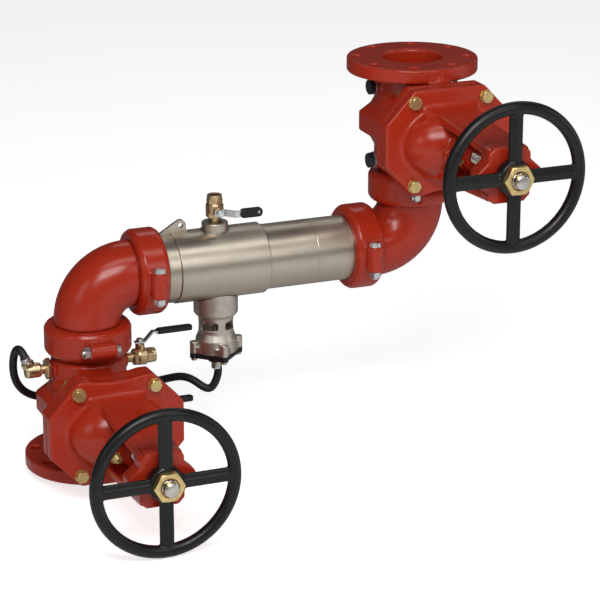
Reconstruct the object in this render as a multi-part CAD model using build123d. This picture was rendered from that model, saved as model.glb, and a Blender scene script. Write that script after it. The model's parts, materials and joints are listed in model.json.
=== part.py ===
from build123d import *
import os
from math import cos, radians, tan

# A four-inch Z-pattern reduced-pressure backflow preventer with rising-stem gate valves.
# Millimetres. The origin is the centre of the inlet flange's face, on the inlet riser's axis.
# +Z runs up the risers, +X along the check tube in the flow direction, and the handwheels face -Y.
# "Forward" below always means towards the handwheels, and is measured from the riser's axis.

# ------------------------------------------------------------------ pipework
PIPE_R = 57.15                  # outside radius of four-inch pipe
BORE_R = 52.0                   # waterway radius of the castings
GROOVE_R = 55.05
GROOVE_START = 15.88            # from the pipe's end to the groove
GROOVE_END = 24.6
GROOVED_STUB = 27.0             # straight length that a grooved end needs
PIPE_GAP = 3.2                  # between two coupled pipe ends
ELBOW_REACH = 102.0             # elbow centre to end
BEND_R = ELBOW_REACH - GROOVED_STUB
RISER_SPACING = 602.7

# ------------------------------------------------------------------ pipe flanges
FLANGE_R = 114.3
FLANGE_T = 23.9
FLANGE_PCD = 190.5
FLANGE_HOLES = 8
FLANGE_HOLE_R = 9.525

# ------------------------------------------------------------------ gate valves
FACE_TO_STEM = 114.3
STEM_TO_GROOVE = 114.3
NECK_R = 65.0
BELT_R = 72.0                   # wall around the gate pocket
BODY_FLANGE_BACK = 115.0
BODY_FLANGE_FRONT = 135.5
BONNET_BACK = 137.0
BONNET_FRONT = 158.0
BONNET_HALF_X = 118.0
BONNET_HALF_Z = 92.0
BONNET_EDGE_X = 65.0            # half length of the top and bottom edges
BONNET_EDGE_Z = 36.0            # half length of the side edges
BONNET_BOLT_X = 66.0
BONNET_BOLT_Z = 72.4
BONNET_BOLT_R = 6.3
BONNET_BOLT_AF = 19.0
BONNET_HOLE_R = 7.0
GATE_R = 58.0
GATE_HALF_T = 21.8
GATE_TRAVEL = 101.6
STEM_R = 13.85
STEM_TIP = 438.0
DOME_HALF_X = 87.0
DOME_R = 62.0
BOX_FLOOR = 214.0               # floor of the stuffing box
BOX_R = 21.0
BOX_TOP = 250.0
GLAND_BACK = 256.0
GLAND_FRONT = 266.0
GLAND_STUD_X = 40.0
YOKE_HALF_X = 36.0
HEAD_BACK = 355.0
HEAD_FRONT = 387.0
HEAD_HALF_Z = 47.0
JOURNAL_R = 19.95
WHEEL_RIM_R = 116.5
WHEEL_TUBE_R = 10.75
WHEEL_D = 404.0
WHEEL_HUB_R = 30.0
WHEEL_NUT_AF = 46.0
WHEEL_NUT_BACK = 412.0
WHEEL_NUT_FRONT = 425.0
PORT_Z = 66.0                   # test ports, above and below the stem's axis
PORT_R = 8.57
PORT_BOSS_R = 15.0
PORT_FACE = 68.0

# ------------------------------------------------------------------ check tube
TUBE_Z = FACE_TO_STEM + STEM_TO_GROOVE + PIPE_GAP + ELBOW_REACH
TUBE_START = ELBOW_REACH + PIPE_GAP
TUBE_END = RISER_SPACING - TUBE_START
HOUSING_R = 62.3
HOUSING_BORE_R = 58.8
HOUSING_START = 152.7
HOUSING_END = 315.7
SLEEVE_START = 288.0
SLEEVE_BORE_R = 54.0
SLEEVE_SEAM = 405.6
RELIEF_X = 233.5                # axis of the relief valve and of the top test cock
TOP_BOSS_R = 23.0
TOP_BOSS_Z = 75.0
CHECK_1_X = 158.0
CHECK_2_X = 318.0
HINGE_X = 22.0                  # check hinge, from the seat ring's upstream face
HINGE_Z = 42.0
SEAT_FACE = 14.0

# ------------------------------------------------------------------ relief valve, heights from the tube's axis
BRANCH_R = 27.5
COLLAR_R = 39.0
COLLAR_BOTTOM = -93.0
RELIEF_NECK_R = 30.75
FOOT_TOP = -140.0
FOOT_BOTTOM = -160.0
DIAPHRAGM_T = 3.0
COVER_T = 6.0
RELIEF_SEAT_Z = -96.0
RELIEF_LUG_R = 41.0

# ------------------------------------------------------------------ couplings
COUPLING_R = 75.0
COUPLING_HALF_W = 25.9
COUPLING_BOLT_Y = 85.0
PAD_HALF = 23.0

# ------------------------------------------------------------------ test cocks, along the cock's own axis
COCK_BODY_START = 12.0
COCK_LENGTH = 52.0
COCK_3_SINK = 4.0               # how much deeper the top cock is screwed in
COCK_STEM_AT = 25.0
COCK_BORE_R = 6.4
BALL_R = 10.9
LEVER_RISE = 42.0
LEVER_LONG = 96.0
LEVER_SHORT = 72.0
LEVER_T = 2.6

HOSE_R = 7.0
SHAFT_GAP = 0.05                # radial clearance of every running fit

FRONT = Plane(origin=(0, 0, 0), x_dir=(1, 0, 0), z_dir=(0, -1, 0))     # X and Z, facing forward
SIDE = Plane(origin=(0, 0, 0), x_dir=(0, -1, 0), z_dir=(-1, 0, 0))     # forward and Z
PLAN = Plane(origin=(0, 0, 0), x_dir=(1, 0, 0), z_dir=(0, 0, -1))      # X and forward


# ================================================================== small helpers
def outline(*points):
    """Flat face inside a closed run of straight lines."""
    return make_face(Polyline(*points, close=True))


def turned(*points, soft_from=None, soft=2.0):
    """Body turned about Z from radius and height; corners beyond soft_from are rounded."""
    face = outline(*points)
    if soft_from is not None:
        face = fillet([v for v in face.vertices() if v.X > soft_from], soft)
    return revolve(Plane.XZ * face, Axis.Z)


def bar(radius, start, end):
    """Round bar along Z."""
    return Pos(0, 0, start) * Cylinder(radius, end - start, align=(Align.CENTER, Align.CENTER, Align.MIN))


def to_front(shape):
    """Turns a shape that stands along Z so that it points forward."""
    return Rot(90, 0, 0) * shape


def to_x(shape):
    """Turns a shape that stands along Z so that it points along +X."""
    return Rot(0, 90, 0) * shape


def forward(sketch, start, end):
    """Sketch of X and Z, carried forward from start to end."""
    return extrude(FRONT.offset(start) * sketch, amount=end - start)


def across(sketch, half):
    """Sketch of forward and Z, carried the same way to both sides."""
    return extrude(SIDE * sketch, amount=half, both=True)


def upright(sketch, half):
    """Sketch of X and forward, carried up and down."""
    return extrude(PLAN * sketch, amount=half, both=True)


def hex_block(across_flats, height, bore_r=0.0):
    """Chamfered hexagon standing on the XY plane, with an optional bore."""
    corner_r = across_flats / 2 / cos(radians(30))
    chamfer_h = (corner_r - across_flats / 2) * tan(radians(30))
    flat_r = across_flats / 2
    prism = extrude(RegularPolygon(flat_r, 6, major_radius=False), amount=height)
    blank = turned(
        (0, 0),
        (flat_r, 0),
        (corner_r, chamfer_h),
        (corner_r, height - chamfer_h),
        (flat_r, height),
        (0, height),
    )
    block = prism & blank
    if bore_r:
        block = block - bar(bore_r, -1, height + 1)
    return block


def grooved_end(bore_r):
    """Pipe end with a coupling groove; its end face is at zero and it runs up Z."""
    return turned(
        (bore_r, 0),
        (PIPE_R - 0.8, 0),
        (PIPE_R, 0.8),
        (PIPE_R, GROOVE_START),
        (GROOVE_R, GROOVE_START),
        (GROOVE_R, GROOVE_END),
        (PIPE_R, GROOVE_END),
        (PIPE_R, GROOVED_STUB),
        (bore_r, GROOVED_STUB),
    )


def place_inlet(shape):
    """The inlet valve hangs head down: the same casting, turned half round about its stem."""
    return Pos(0, 0, FACE_TO_STEM) * Rot(0, 180, 0) * shape


def place_outlet(shape):
    return Pos(RISER_SPACING, 0, 2 * TUBE_Z - FACE_TO_STEM) * shape


def place_tube(shape):
    """Puts a shape drawn round the X axis onto the check tube's axis."""
    return Pos(0, 0, TUBE_Z) * shape


def four_ways(x, y):
    return [(x, y), (-x, y), (-x, -y), (x, -y)]


# ================================================================== gate valve, +Z towards its pipe flange
def bonnet_outline():
    """Long octagon, hollowed a little between the bolts on the grooved side."""
    hollow_r = 195.0
    hollow_depth = 6.0
    shape = outline(
        (BONNET_HALF_X, BONNET_EDGE_Z),
        (BONNET_EDGE_X, BONNET_HALF_Z),
        (-BONNET_EDGE_X, BONNET_HALF_Z),
        (-BONNET_HALF_X, BONNET_EDGE_Z),
        (-BONNET_HALF_X, -BONNET_EDGE_Z),
        (-BONNET_EDGE_X, -BONNET_HALF_Z),
        (BONNET_EDGE_X, -BONNET_HALF_Z),
        (BONNET_HALF_X, -BONNET_EDGE_Z),
    )
    shape = fillet(shape.vertices(), 7)
    return shape - Pos(0, hollow_depth - BONNET_HALF_Z - hollow_r) * Circle(hollow_r)


def soft_slab(sketch, start, end, radius=3.0):
    """Slab carried forward, with the rim of its front and back faces rounded."""
    slab = forward(sketch, start, end)
    rim = slab.edges().filter_by_position(Axis.Y, -end - 0.01, -end + 0.01)
    rim += slab.edges().filter_by_position(Axis.Y, -start - 0.01, -start + 0.01)
    return fillet(rim, radius)


def at_bonnet_bolts(shape):
    return [Pos(x, 0, z) * shape for x, z in four_ways(BONNET_BOLT_X, BONNET_BOLT_Z)]


def valve_barrel():
    """The waterway casting: grooved end, neck and pipe flange."""
    flange_back = FACE_TO_STEM - FLANGE_T
    root = 9.0
    neck = turned(
        (0, GROOVED_STUB - STEM_TO_GROOVE),
        (PIPE_R, GROOVED_STUB - STEM_TO_GROOVE),
        (NECK_R, GROOVED_STUB - STEM_TO_GROOVE + root),
        (NECK_R, flange_back - root),
        (NECK_R + root, flange_back + 0.5),
        (0, flange_back + 0.5),
    )
    belt = turned(
        (0, -44),
        (NECK_R - 1, -44),
        (BELT_R, -30),
        (BELT_R, 30),
        (NECK_R - 1, 44),
        (0, 44),
        soft_from=NECK_R,
        soft=8,
    )
    flange = turned(
        (0, flange_back),
        (FLANGE_R, flange_back),
        (FLANGE_R, FACE_TO_STEM),
        (0, FACE_TO_STEM),
        soft_from=NECK_R,
        soft=2.5,
    )
    end = Pos(0, 0, -STEM_TO_GROOVE) * grooved_end(BORE_R - 1)
    return neck + belt + flange + end


def valve_throat():
    """Rails beside the gate and the throat that carries the bonnet."""
    rail_x = 87.0
    rail_z = 17.0
    root_z = 31.0
    rails = outline(
        (rail_x, rail_z),
        (NECK_R, root_z),
        (-NECK_R, root_z),
        (-rail_x, rail_z),
        (-rail_x, -rail_z),
        (-NECK_R, -root_z),
        (NECK_R, -root_z),
        (rail_x, -rail_z),
    )
    rails = soft_slab(fillet(rails.vertices(), 4), -34, BODY_FLANGE_BACK + 1, 4)
    throat = forward(RectangleRounded(144, 116, 30), 10, BODY_FLANGE_BACK + 1)
    back_boss = to_front(turned((0, -76), (24, -76), (26, -60), (0, -60), soft_from=10, soft=1.5))
    return rails + throat + back_boss


def gate_pocket():
    """Hollow in which the gate slides, with a slot for its guide on each side."""
    slot_x = 71.0
    slot_half_z = 9.0
    pocket_r = GATE_R + 2.0
    open_front = Pos(0, 75) * Rectangle(2 * pocket_r, 150)
    pocket = upright(Circle(pocket_r) + open_front, GATE_HALF_T + 0.2)
    slots = upright(Pos(0, 62) * Rectangle(2 * slot_x, 176), slot_half_z)
    return pocket + slots


def flange_holes():
    ring = PolarLocations(FLANGE_PCD / 2, FLANGE_HOLES, start_angle=180 / FLANGE_HOLES)
    return [place * bar(FLANGE_HOLE_R, 60, FACE_TO_STEM + 5) for place in ring]


def bonnet_web():
    """Small web that ties the pipe flange's rim to the bonnet flange."""
    web = outline(
        (FLANGE_R - 8, BONNET_HALF_Z - 8),
        (BODY_FLANGE_BACK + 4, BONNET_HALF_Z - 8),
        (BODY_FLANGE_BACK + 4, BONNET_HALF_Z - 2),
        (FLANGE_R - 2, FACE_TO_STEM - 6),
        (FLANGE_R - 8, FACE_TO_STEM - 6),
    )
    return across(web, 5)


def valve_body(ports):
    """Whole body; ports lists (side, level) of each tapped boss as plus or minus one."""
    body = valve_barrel() + valve_throat() + bonnet_web()
    body = body + soft_slab(bonnet_outline(), BODY_FLANGE_BACK, BODY_FLANGE_FRONT, 2.5)
    for side, level in ports:
        body = body + Pos(0, 0, level * PORT_Z) * to_x(Rot(0, 90 - 90 * side, 0) * bar(PORT_BOSS_R, 50, PORT_FACE))
    body = body - bar(BORE_R, -STEM_TO_GROOVE - 1, FACE_TO_STEM + 1)
    body = body - turned((BORE_R - 2, FACE_TO_STEM - 5), (BORE_R + 4, FACE_TO_STEM + 1), (BORE_R - 2, FACE_TO_STEM + 1))
    body = body - gate_pocket()
    for side, level in ports:
        body = body - Pos(0, 0, level * PORT_Z) * to_x(Rot(0, 90 - 90 * side, 0) * bar(PORT_R, 40, PORT_FACE + 5))
    for hole in flange_holes() + at_bonnet_bolts(to_front(bar(BONNET_HOLE_R, 80, 140))):
        body = body - hole
    return body


def gland_ears(half_span, boss_r):
    """Plan of a gland plate: a round middle with an ear at each stud."""
    ears = Circle(boss_r) + Rectangle(2 * half_span, 22)
    for x in (-half_span, half_span):
        ears = ears + Pos(x, 0) * Circle(12.5)
    return ears


def egg(half_x, radius):
    """Ellipsoid turned about X, centred on the bonnet's front face."""
    half = Ellipse(half_x, radius) & (Pos(0, radius / 2) * Rectangle(2 * half_x, radius))
    return Pos(0, -BONNET_FRONT, 0) * revolve(half, Axis.X)


def yoke_arm():
    """Flat arm above the stem, flared where it leaves the bonnet flange."""
    side_view = outline(
        (150, 66),
        (164, 61),
        (176, 57.5),
        (HEAD_FRONT - 6, 43),
        (HEAD_FRONT - 6, 30),
        (182, 42),
        (150, 38),
    )
    plan_view = outline(
        (50, 150),
        (50, 160),
        (44, 170),
        (YOKE_HALF_X, 186),
        (YOKE_HALF_X, HEAD_FRONT - 6),
        (-YOKE_HALF_X, HEAD_FRONT - 6),
        (-YOKE_HALF_X, 186),
        (-44, 170),
        (-50, 160),
        (-50, 150),
    )
    return across(side_view, 70) & upright(fillet(plan_view.vertices().filter_by_position(Axis.Y, 165, 200), 9), 80)


def yoke_head():
    """Block that carries the stem nut, with an ear at each side."""
    half_x = 38.0
    chamfer = 11.0
    ear_x = 57.0
    block = outline(
        (half_x, HEAD_HALF_Z - chamfer),
        (half_x - chamfer, HEAD_HALF_Z),
        (chamfer - half_x, HEAD_HALF_Z),
        (-half_x, HEAD_HALF_Z - chamfer),
        (-half_x, chamfer - HEAD_HALF_Z),
        (chamfer - half_x, -HEAD_HALF_Z),
        (half_x - chamfer, -HEAD_HALF_Z),
        (half_x, chamfer - HEAD_HALF_Z),
    )
    ears = outline((ear_x, 7), (36, 26), (-36, 26), (-ear_x, 7), (-ear_x, -7), (-36, -26), (36, -26), (ear_x, -7))
    plan = block + ears
    return soft_slab(fillet(plan.vertices(), 3), HEAD_BACK, HEAD_FRONT, 3)


def bonnet():
    """Bonnet flange, dome, stuffing box, yoke arms and yoke head in one casting."""
    arm = yoke_arm()
    cast = soft_slab(bonnet_outline(), BONNET_BACK, BONNET_FRONT, 2.5)
    cast = cast + egg(DOME_HALF_X, DOME_R)
    cast = cast + arm + mirror(arm, Plane.XY) + yoke_head()
    cast = cast - forward(Rectangle(400, 400), 60, BONNET_BACK)
    cast = cast + to_front(turned((0, 200), (33, 200), (30, 222), (30, BOX_TOP), (0, BOX_TOP), soft_from=20, soft=1.5))
    cast = cast + soft_slab(gland_ears(GLAND_STUD_X, 30), BOX_TOP - 11, BOX_TOP, 1.5)
    hollow = egg(DOME_HALF_X - 11, DOME_R - 11) - forward(Rectangle(400, 400), 60, BONNET_FRONT)
    cast = cast - hollow
    cast = cast - forward(Ellipse(DOME_HALF_X - 11, DOME_R - 11), BONNET_BACK - 5, BONNET_FRONT)
    cast = cast - to_front(bar(STEM_R + 0.6, 190, 260))
    cast = cast - to_front(bar(BOX_R, BOX_FLOOR, BOX_TOP + 1))
    cast = cast - to_front(bar(JOURNAL_R + SHAFT_GAP, HEAD_BACK - 5, HEAD_FRONT + 5))
    for x in (-GLAND_STUD_X, GLAND_STUD_X):
        cast = cast - Pos(x, 0, 0) * to_front(bar(5.4, 225, BOX_TOP + 5))
    for hole in at_bonnet_bolts(to_front(bar(BONNET_HOLE_R, 130, 165))):
        cast = cast - hole
    return cast


def bonnet_gasket():
    sheet = bonnet_outline() - Ellipse(DOME_HALF_X - 11, DOME_R - 11)
    gasket = forward(sheet, BODY_FLANGE_FRONT + 0.05, BONNET_BACK - 0.05)
    for hole in at_bonnet_bolts(to_front(bar(BONNET_HOLE_R, 130, 140))):
        gasket = gasket - hole
    return gasket


def bonnet_bolt_set():
    """Four hex bolts from the front and their nuts behind the body flange."""
    washer_t = 2.0
    washer = bar(11.5, BONNET_FRONT, BONNET_FRONT + washer_t)
    head = Pos(0, 0, BONNET_FRONT + washer_t) * hex_block(BONNET_BOLT_AF, 8)
    bolt = washer + head + bar(BONNET_BOLT_R, BODY_FLANGE_BACK - 16, BONNET_FRONT + 1)
    nut = Pos(0, 0, BODY_FLANGE_BACK - 11) * hex_block(BONNET_BOLT_AF, 11, BONNET_BOLT_R + 0.02)
    return at_bonnet_bolts(to_front(bolt)) + at_bonnet_bolts(to_front(nut))


def gland():
    """Follower that presses the packing down the stuffing box."""
    nose = to_front(bar(BOX_R - 0.1, 242.3, GLAND_BACK + 1))
    plate = soft_slab(gland_ears(GLAND_STUD_X, 25), GLAND_BACK, GLAND_FRONT, 1.5)
    boss = to_front(turned((0, GLAND_BACK), (21, GLAND_BACK), (19, GLAND_FRONT + 5), (0, GLAND_FRONT + 5)))
    follower = nose + plate + boss
    follower = follower - to_front(bar(STEM_R + 0.4, 230, 280))
    for x in (-GLAND_STUD_X, GLAND_STUD_X):
        follower = follower - Pos(x, 0, 0) * to_front(bar(5.4, 225, 280))
    return follower


def gland_stud_set():
    """Two studs, each with a nut on the gland and one behind the box's ear."""
    nut = hex_block(17, 9, 5.02)
    pieces = []
    for x in (-GLAND_STUD_X, GLAND_STUD_X):
        stud = turned((0, 224), (4.2, 224), (5, 225), (5, 287), (4.2, 288), (0, 288))
        pieces.append(Pos(x, 0, 0) * to_front(stud))
        pieces.append(Pos(x, -GLAND_FRONT, 0) * to_front(nut))
        pieces.append(Pos(x, -(BOX_TOP - 11 - 9), 0) * to_front(nut))
    return pieces


def packing_set():
    """Square packing rings around the stem."""
    rings = 4
    pitch = (242.2 - BOX_FLOOR) / rings
    ring = turned(
        (STEM_R + SHAFT_GAP, 0.1),
        (BOX_R - 0.05, 0.1),
        (BOX_R - 0.05, pitch - 0.1),
        (STEM_R + SHAFT_GAP, pitch - 0.1),
    )
    return [to_front(Pos(0, 0, BOX_FLOOR + i * pitch) * ring) for i in range(rings)]


def stem():
    """Rising stem: a collar that the gate hangs on, a plain length and the threaded length."""
    shape = turned(
        (0, 66),
        (17, 66),
        (18, 67),
        (18, 73),
        (17, 74),
        (STEM_R, 74),
        (STEM_R, STEM_TIP - 3),
        (STEM_R - 3, STEM_TIP),
        (0, STEM_TIP),
    )
    return to_front(shape)


def gate():
    """Wedge gate with guides at its sides and a slotted lug for the stem's collar."""
    disc = upright(Circle(GATE_R), GATE_HALF_T)
    disc = chamfer(disc.edges().filter_by(GeomType.CIRCLE), 2.5)
    guides = upright(Rectangle(2 * 69.5, 44), 8.7)
    lug = upright(Pos(0, 64) * Rectangle(48, 40), 20)
    shape = disc + guides + lug
    collar_room = Pos(0, -70, 15) * Box(37, 9, 70)
    neck_room = Pos(0, -80, 15) * Box(28.8, 20, 70)
    collar_stop = forward(Rectangle(100, 100), 40, 65.5)
    return shape - (collar_room - collar_stop) - neck_room - to_front(bar(STEM_R + 0.4, 66, 90))


def wheel_quarter():
    """One spoke on +X with the quarter of the rim that it carries."""
    rim = revolve(Plane.XZ * (Pos(WHEEL_RIM_R, WHEEL_D) * Circle(WHEEL_TUBE_R)), Axis.Z, 90)
    rim = Rot(0, 45, 0) * to_front(rim)
    length = WHEEL_RIM_R - 4
    flat = Box(length, 9, 24)
    flat = fillet(flat.edges().filter_by(Axis.X), 3.5)
    rib = Box(length, 15, 9)
    rib = fillet(rib.edges().filter_by(Axis.X), 3.5)
    return rim + Pos(length / 2, -WHEEL_D, 0) * (flat + rib)


def handwheel():
    """Round-rimmed wheel with four ribbed spokes and a hub bored for the stem nut's hexagon."""
    quarter = wheel_quarter()
    wheel = quarter
    for turn in (90, 180, 270):
        wheel = wheel + Rot(0, turn, 0) * quarter
    hub = turned(
        (0, HEAD_FRONT + 0.3),
        (24, HEAD_FRONT + 0.3),
        (WHEEL_HUB_R, 393),
        (WHEEL_HUB_R, 408),
        (27, WHEEL_NUT_BACK),
        (0, WHEEL_NUT_BACK),
        soft_from=20,
        soft=2,
    )
    bore = Pos(0, 0, HEAD_FRONT - 5) * extrude(RegularPolygon(17.1, 6, major_radius=False), amount=40)
    return wheel + to_front(hub) - to_front(bore)


def yoke_nut():
    """Bronze stem nut: flange under the yoke head, journal, hexagon for the wheel, threaded end."""
    blank = turned(
        (0, 344),
        (27, 344),
        (27, HEAD_BACK - 0.1),
        (JOURNAL_R, HEAD_BACK - 0.1),
        (JOURNAL_R, HEAD_FRONT + 0.2),
        (0, HEAD_FRONT + 0.2),
    )
    drive = Pos(0, 0, HEAD_FRONT) * extrude(RegularPolygon(17, 6, major_radius=False), amount=24)
    end = bar(16.4, 400, WHEEL_NUT_FRONT - 1.5)
    return to_front(blank + drive + end - bar(STEM_R + SHAFT_GAP, 300, 450))


def wheel_nut():
    height = WHEEL_NUT_FRONT - WHEEL_NUT_BACK
    return to_front(Pos(0, 0, WHEEL_NUT_BACK) * hex_block(WHEEL_NUT_AF, height, 16.45))


def plug(side, level):
    """Pipe plug with a round collar and a hexagon head, screwed into a test port."""
    shank = bar(PORT_R - SHAFT_GAP, 54, PORT_FACE + 1)
    collar = turned((0, PORT_FACE), (12, PORT_FACE), (12, PORT_FACE + 6), (0, PORT_FACE + 6), soft_from=5, soft=0.8)
    head = Pos(0, 0, PORT_FACE + 6) * hex_block(24, 9)
    return Pos(0, 0, level * PORT_Z) * to_x(Rot(0, 90 - 90 * side, 0) * (shank + collar + head))


# ================================================================== elbows and couplings
def elbow():
    """Grooved elbow from below to +X; the two axes cross at the origin."""
    ring = Pos(0, 0, -BEND_R) * (Circle(PIPE_R + 0.6) - Circle(BORE_R))
    bend = revolve(ring, Axis((BEND_R, 0, -BEND_R), (0, 1, 0)), 90)
    lower = Pos(0, 0, -ELBOW_REACH) * grooved_end(BORE_R)
    outer = Pos(ELBOW_REACH, 0, 0) * Rot(0, -90, 0) * grooved_end(BORE_R)
    return bend + lower + outer


def coupling_blank():
    shell = turned(
        (0, -COUPLING_HALF_W),
        (64, -COUPLING_HALF_W),
        (71, -COUPLING_HALF_W + 1.5),
        (COUPLING_R, -18),
        (COUPLING_R, 18),
        (71, COUPLING_HALF_W - 1.5),
        (64, COUPLING_HALF_W),
        (0, COUPLING_HALF_W),
        soft_from=66,
        soft=2.5,
    )
    for y in (-COUPLING_BOLT_Y, COUPLING_BOLT_Y):
        pad = to_x(bar(14.5, -PAD_HALF, PAD_HALF))
        pad = fillet(pad.edges(), 3)
        web = Box(2 * PAD_HALF - 6, 30, 27)
        web = fillet(web.edges().filter_by(Axis.Y), 4)
        inward = 13 if y < 0 else -13
        shell = shell + Pos(0, y, 0) * pad + Pos(0, y + inward, 0) * web
    return shell


def coupling():
    """Two half housings round a joint on Z, split at x = 0, with their bolts along X."""
    key_r = GROOVE_R + 0.45
    key_in = PIPE_GAP / 2 + GROOVE_START + 0.6
    room = turned(
        (0, -30),
        (key_r, -30),
        (key_r, -key_in),
        (66, 2 - key_in),
        (66, key_in - 2),
        (key_r, key_in),
        (key_r, 30),
        (0, 30),
    )
    shell = coupling_blank() - room
    for y in (-COUPLING_BOLT_Y, COUPLING_BOLT_Y):
        shell = shell - Pos(0, y, 0) * to_x(bar(6.6, -40, 40))
    half = shell - Pos(-100 + 0.6, 0, 0) * Box(200, 300, 100)
    return [half, mirror(half, Plane.YZ)]


def coupling_gasket():
    return turned(
        (PIPE_R + 0.05, -15.6),
        (65.8, -15.6),
        (65.8, 15.6),
        (PIPE_R + 0.05, 15.6),
        (PIPE_R + 0.05, 6),
        (62, 4),
        (62, -4),
        (PIPE_R + 0.05, -6),
    )


def coupling_bolt_set():
    """Two round-headed track bolts with hexagon nuts."""
    pieces = []
    for y in (-COUPLING_BOLT_Y, COUPLING_BOLT_Y):
        bolt = turned((0, -37), (5.2, -37), (6, -36), (6, PAD_HALF), (11, PAD_HALF), (9, PAD_HALF + 7), (0, PAD_HALF + 8))
        nut = Pos(0, 0, -PAD_HALF - 10) * hex_block(19, 10, 6.02)
        pieces.append(Pos(0, y, 0) * to_x(bolt))
        pieces.append(Pos(0, y, 0) * to_x(nut))
    return pieces


def coupling_places():
    """Where each coupling's centre is, and how it is turned."""
    riser_z = FACE_TO_STEM + STEM_TO_GROOVE + PIPE_GAP / 2
    tube_x = ELBOW_REACH + PIPE_GAP / 2
    return {
        "inlet_riser_coupling": Pos(0, 0, riser_z),
        "inlet_tube_coupling": Pos(tube_x, 0, TUBE_Z) * Rot(0, -90, 0),
        "outlet_tube_coupling": Pos(RISER_SPACING - tube_x, 0, TUBE_Z) * Rot(0, -90, 0),
        "outlet_riser_coupling": Pos(RISER_SPACING, 0, 2 * TUBE_Z - riser_z),
    }


# ================================================================== check tube, drawn round the X axis
def check_housing():
    """Stainless housing with its relief branch, top boss and lifting lug."""
    shell = turned(
        (SLEEVE_BORE_R, TUBE_START + GROOVED_STUB - 0.5),
        (60.0, TUBE_START + GROOVED_STUB - 0.5),
        (60.0, HOUSING_START - 0.6),
        (59.4, HOUSING_START - 0.6),
        (59.4, HOUSING_START),
        (HOUSING_R - 0.8, HOUSING_START),
        (HOUSING_R, HOUSING_START + 0.8),
        (HOUSING_R, HOUSING_END - 1.6),
        (HOUSING_R - 1.4, HOUSING_END),
        (HOUSING_BORE_R, HOUSING_END),
        (HOUSING_BORE_R, 150),
        (SLEEVE_BORE_R, 144),
    )
    end = Pos(0, 0, TUBE_START) * grooved_end(SLEEVE_BORE_R)
    housing = to_x(shell + end)
    solid_core = to_x(bar(HOUSING_R - 2, 200, 270))
    branch = Pos(RELIEF_X, 0, 0) * (bar(BRANCH_R, -88, -50) - solid_core.moved(Pos(-RELIEF_X, 0, 0)))
    boss = turned((0, 40), (TOP_BOSS_R, 40), (TOP_BOSS_R, TOP_BOSS_Z), (0, TOP_BOSS_Z), soft_from=5, soft=3)
    boss = Pos(RELIEF_X, 0, 0) * boss - solid_core
    housing = housing + branch + boss + (lifting_lug() - to_x(bar(HOUSING_BORE_R, 100, 330)))
    housing = housing - Pos(RELIEF_X, 0, 0) * bar(BRANCH_R - 4.5, -100, 0)
    return housing - Pos(RELIEF_X, 0, 0) * bar(PORT_R, 0, 80)


def lifting_lug():
    """Triangular gusset on the crown with a round eye at its downstream corner."""
    eye_x = 170.0
    eye_z = 75.0
    eye_r = 10.0
    gusset = outline((131, 56), (131, 63), (163, eye_z + 7.5), (eye_x + 9, eye_z + 4), (eye_x + eye_r + 2, 56))
    plate = gusset + Pos(eye_x, eye_z) * Circle(eye_r) - Pos(eye_x, eye_z) * Circle(4.5)
    return extrude(Plane.XZ * plate, amount=3.5, both=True)


def check_sleeve():
    """Slip sleeve that closes the downstream half of the check tube."""
    seam = 0.5
    shell = turned(
        (SLEEVE_BORE_R, SLEEVE_START),
        (PIPE_R - 1.5, SLEEVE_START),
        (PIPE_R, SLEEVE_START + 4),
        (PIPE_R, 294),
        (55.6, 294),
        (55.6, 298),
        (PIPE_R, 298),
        (PIPE_R, 303),
        (55.6, 303),
        (55.6, 307),
        (PIPE_R, 307),
        (PIPE_R, SLEEVE_SEAM - 1),
        (PIPE_R - seam, SLEEVE_SEAM),
        (PIPE_R, SLEEVE_SEAM + 1),
        (PIPE_R, TUBE_END - GROOVED_STUB + 1),
        (SLEEVE_BORE_R, TUBE_END - GROOVED_STUB + 1),
    )
    end = Pos(0, 0, TUBE_END) * Rot(180, 0, 0) * grooved_end(SLEEVE_BORE_R)
    return to_x(shell + end)


def sleeve_seals():
    ring = turned((55.65, 0.1), (HOUSING_BORE_R - 0.05, 0.1), (HOUSING_BORE_R - 0.05, 3.9), (55.65, 3.9))
    return [to_x(Pos(0, 0, x) * ring) for x in (294, 303)]


def check_seat(outer_r):
    """Seat ring with two ears that hold the hinge pin."""
    ring = to_x(turned((34, 0), (outer_r, 0), (outer_r, SEAT_FACE), (37, SEAT_FACE), (34, 12)))
    for y in (-17, 17):
        ear = Pos(HINGE_X - 3.5, y, HINGE_Z + 2.5) * Box(18, 4, 11)
        ring = ring + ear
    return ring - Pos(HINGE_X, 0, HINGE_Z) * Rot(90, 0, 0) * bar(3.02, -30, 30)


def check_clapper():
    """Swinging plate, its arm and the hinge barrel."""
    plate = to_x(bar(40, 18.4, 23)) & Pos(20, 0, -17) * Box(30, 100, 100)
    arm = Pos(22.7, 0, 22) * Box(8.6, 10, 38)
    barrel = Pos(HINGE_X, 0, HINGE_Z) * Rot(90, 0, 0) * bar(5.5, -14, 14)
    bolt = to_x(Pos(0, 0, 23) * hex_block(16, 6))
    pin_hole = Pos(HINGE_X, 0, HINGE_Z) * Rot(90, 0, 0) * bar(3 + SHAFT_GAP, -30, 30)
    return plate + arm + barrel + bolt - pin_hole


def check_disc():
    """Rubber facing of the clapper."""
    return to_x(bar(36, SEAT_FACE + 0.1, 18.4))


def check_pin():
    return Pos(HINGE_X, 0, HINGE_Z) * Rot(90, 0, 0) * bar(3, -19, 19)


def coil(radius, wire_r, pitch, height):
    """Coil spring standing on the XY plane."""
    path = Helix(pitch=pitch, height=height, radius=radius)
    start = Plane(origin=path @ 0, z_dir=path % 0)
    return sweep(start * Circle(wire_r), path=path)


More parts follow.
